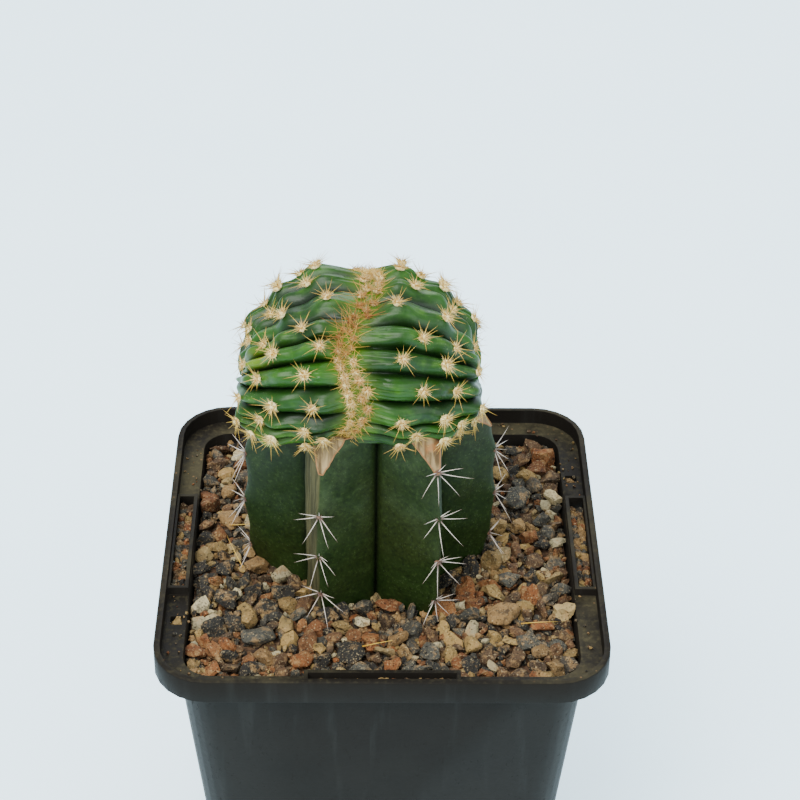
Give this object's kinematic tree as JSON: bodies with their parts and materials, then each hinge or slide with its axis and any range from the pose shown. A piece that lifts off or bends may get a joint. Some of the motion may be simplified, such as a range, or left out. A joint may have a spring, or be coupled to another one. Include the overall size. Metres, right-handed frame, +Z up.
{
  "type": "potted grafted crested cactus",
  "caption": "Small crested cactus grafted on a ribbed columnar stem, growing in a square tapered nursery pot filled with mineral grit.",
  "frame": {"origin": "centre of the pot's underside, on the surface that the pot stands on", "axes": "+Z up; the pot's front, which is one end of the crest's growing line, faces -Y; +X is to the right seen from the front"},
  "size_m": [0.09, 0.09, 0.1505],
  "materials": {
    "pot_plastic": "matte black moulded plastic with fine scuffs and dust",
    "grit_mix": "rough loose mineral grit, brown and grey",
    "stone": "rough porous stones",
    "rootstock_skin": "waxy dark green skin with a pale bloom and tan corky scars",
    "crest_skin": "waxy mid green skin, slightly glossy",
    "rootstock_spine": "pale grey spines, brown at the foot",
    "crest_spine": "cream wool with straw-coloured and rusty spines"
  },
  "bodies": {
    "root": {"areole_left_1": "crest_spine", "areole_left_2": "crest_spine", "areole_left_3": "crest_spine", "areole_left_4": "crest_spine", "areole_left_5": "crest_spine", "areole_left_6": "crest_spine", "areole_left_7": "crest_spine", "areole_right_1": "crest_spine", "areole_right_2": "crest_spine", "areole_right_3": "crest_spine", "areole_right_4": "crest_spine", "areole_right_5": "crest_spine", "areole_right_6": "crest_spine", "areole_right_7": "crest_spine", "crested_scion": "crest_skin", "pot": "pot_plastic", "rootstock": "rootstock_skin", "spines_back_left_1": "rootstock_spine", "spines_back_left_2": "rootstock_spine", "spines_back_left_3": "rootstock_spine", "spines_back_right_1": "rootstock_spine", "spines_back_right_2": "rootstock_spine", "spines_back_right_3": "rootstock_spine", "spines_front_left_1": "rootstock_spine", "spines_front_left_2": "rootstock_spine", "spines_front_left_3": "rootstock_spine", "spines_front_right_1": "rootstock_spine", "spines_front_right_2": "rootstock_spine", "spines_front_right_3": "rootstock_spine", "spines_front_right_4": "rootstock_spine", "spines_left_1": "rootstock_spine", "spines_left_2": "rootstock_spine", "spines_left_3": "rootstock_spine", "spines_right_1": "rootstock_spine", "spines_right_2": "rootstock_spine", "spines_right_3": "rootstock_spine", "stone_01": "stone", "stone_02": "stone", "stone_03": "stone", "stone_04": "stone", "stone_05": "stone", "stone_06": "stone", "stone_07": "stone", "stone_08": "stone", "stone_09": "stone", "stone_10": "stone", "stone_11": "stone", "stone_12": "stone", "stone_13": "stone", "stone_14": "stone", "stone_15": "stone", "stone_16": "stone", "stone_17": "stone", "stone_18": "stone", "stone_19": "stone", "stone_20": "stone", "stone_21": "stone", "stone_22": "stone", "substrate": "grit_mix"}
  },
  "joints": []
}
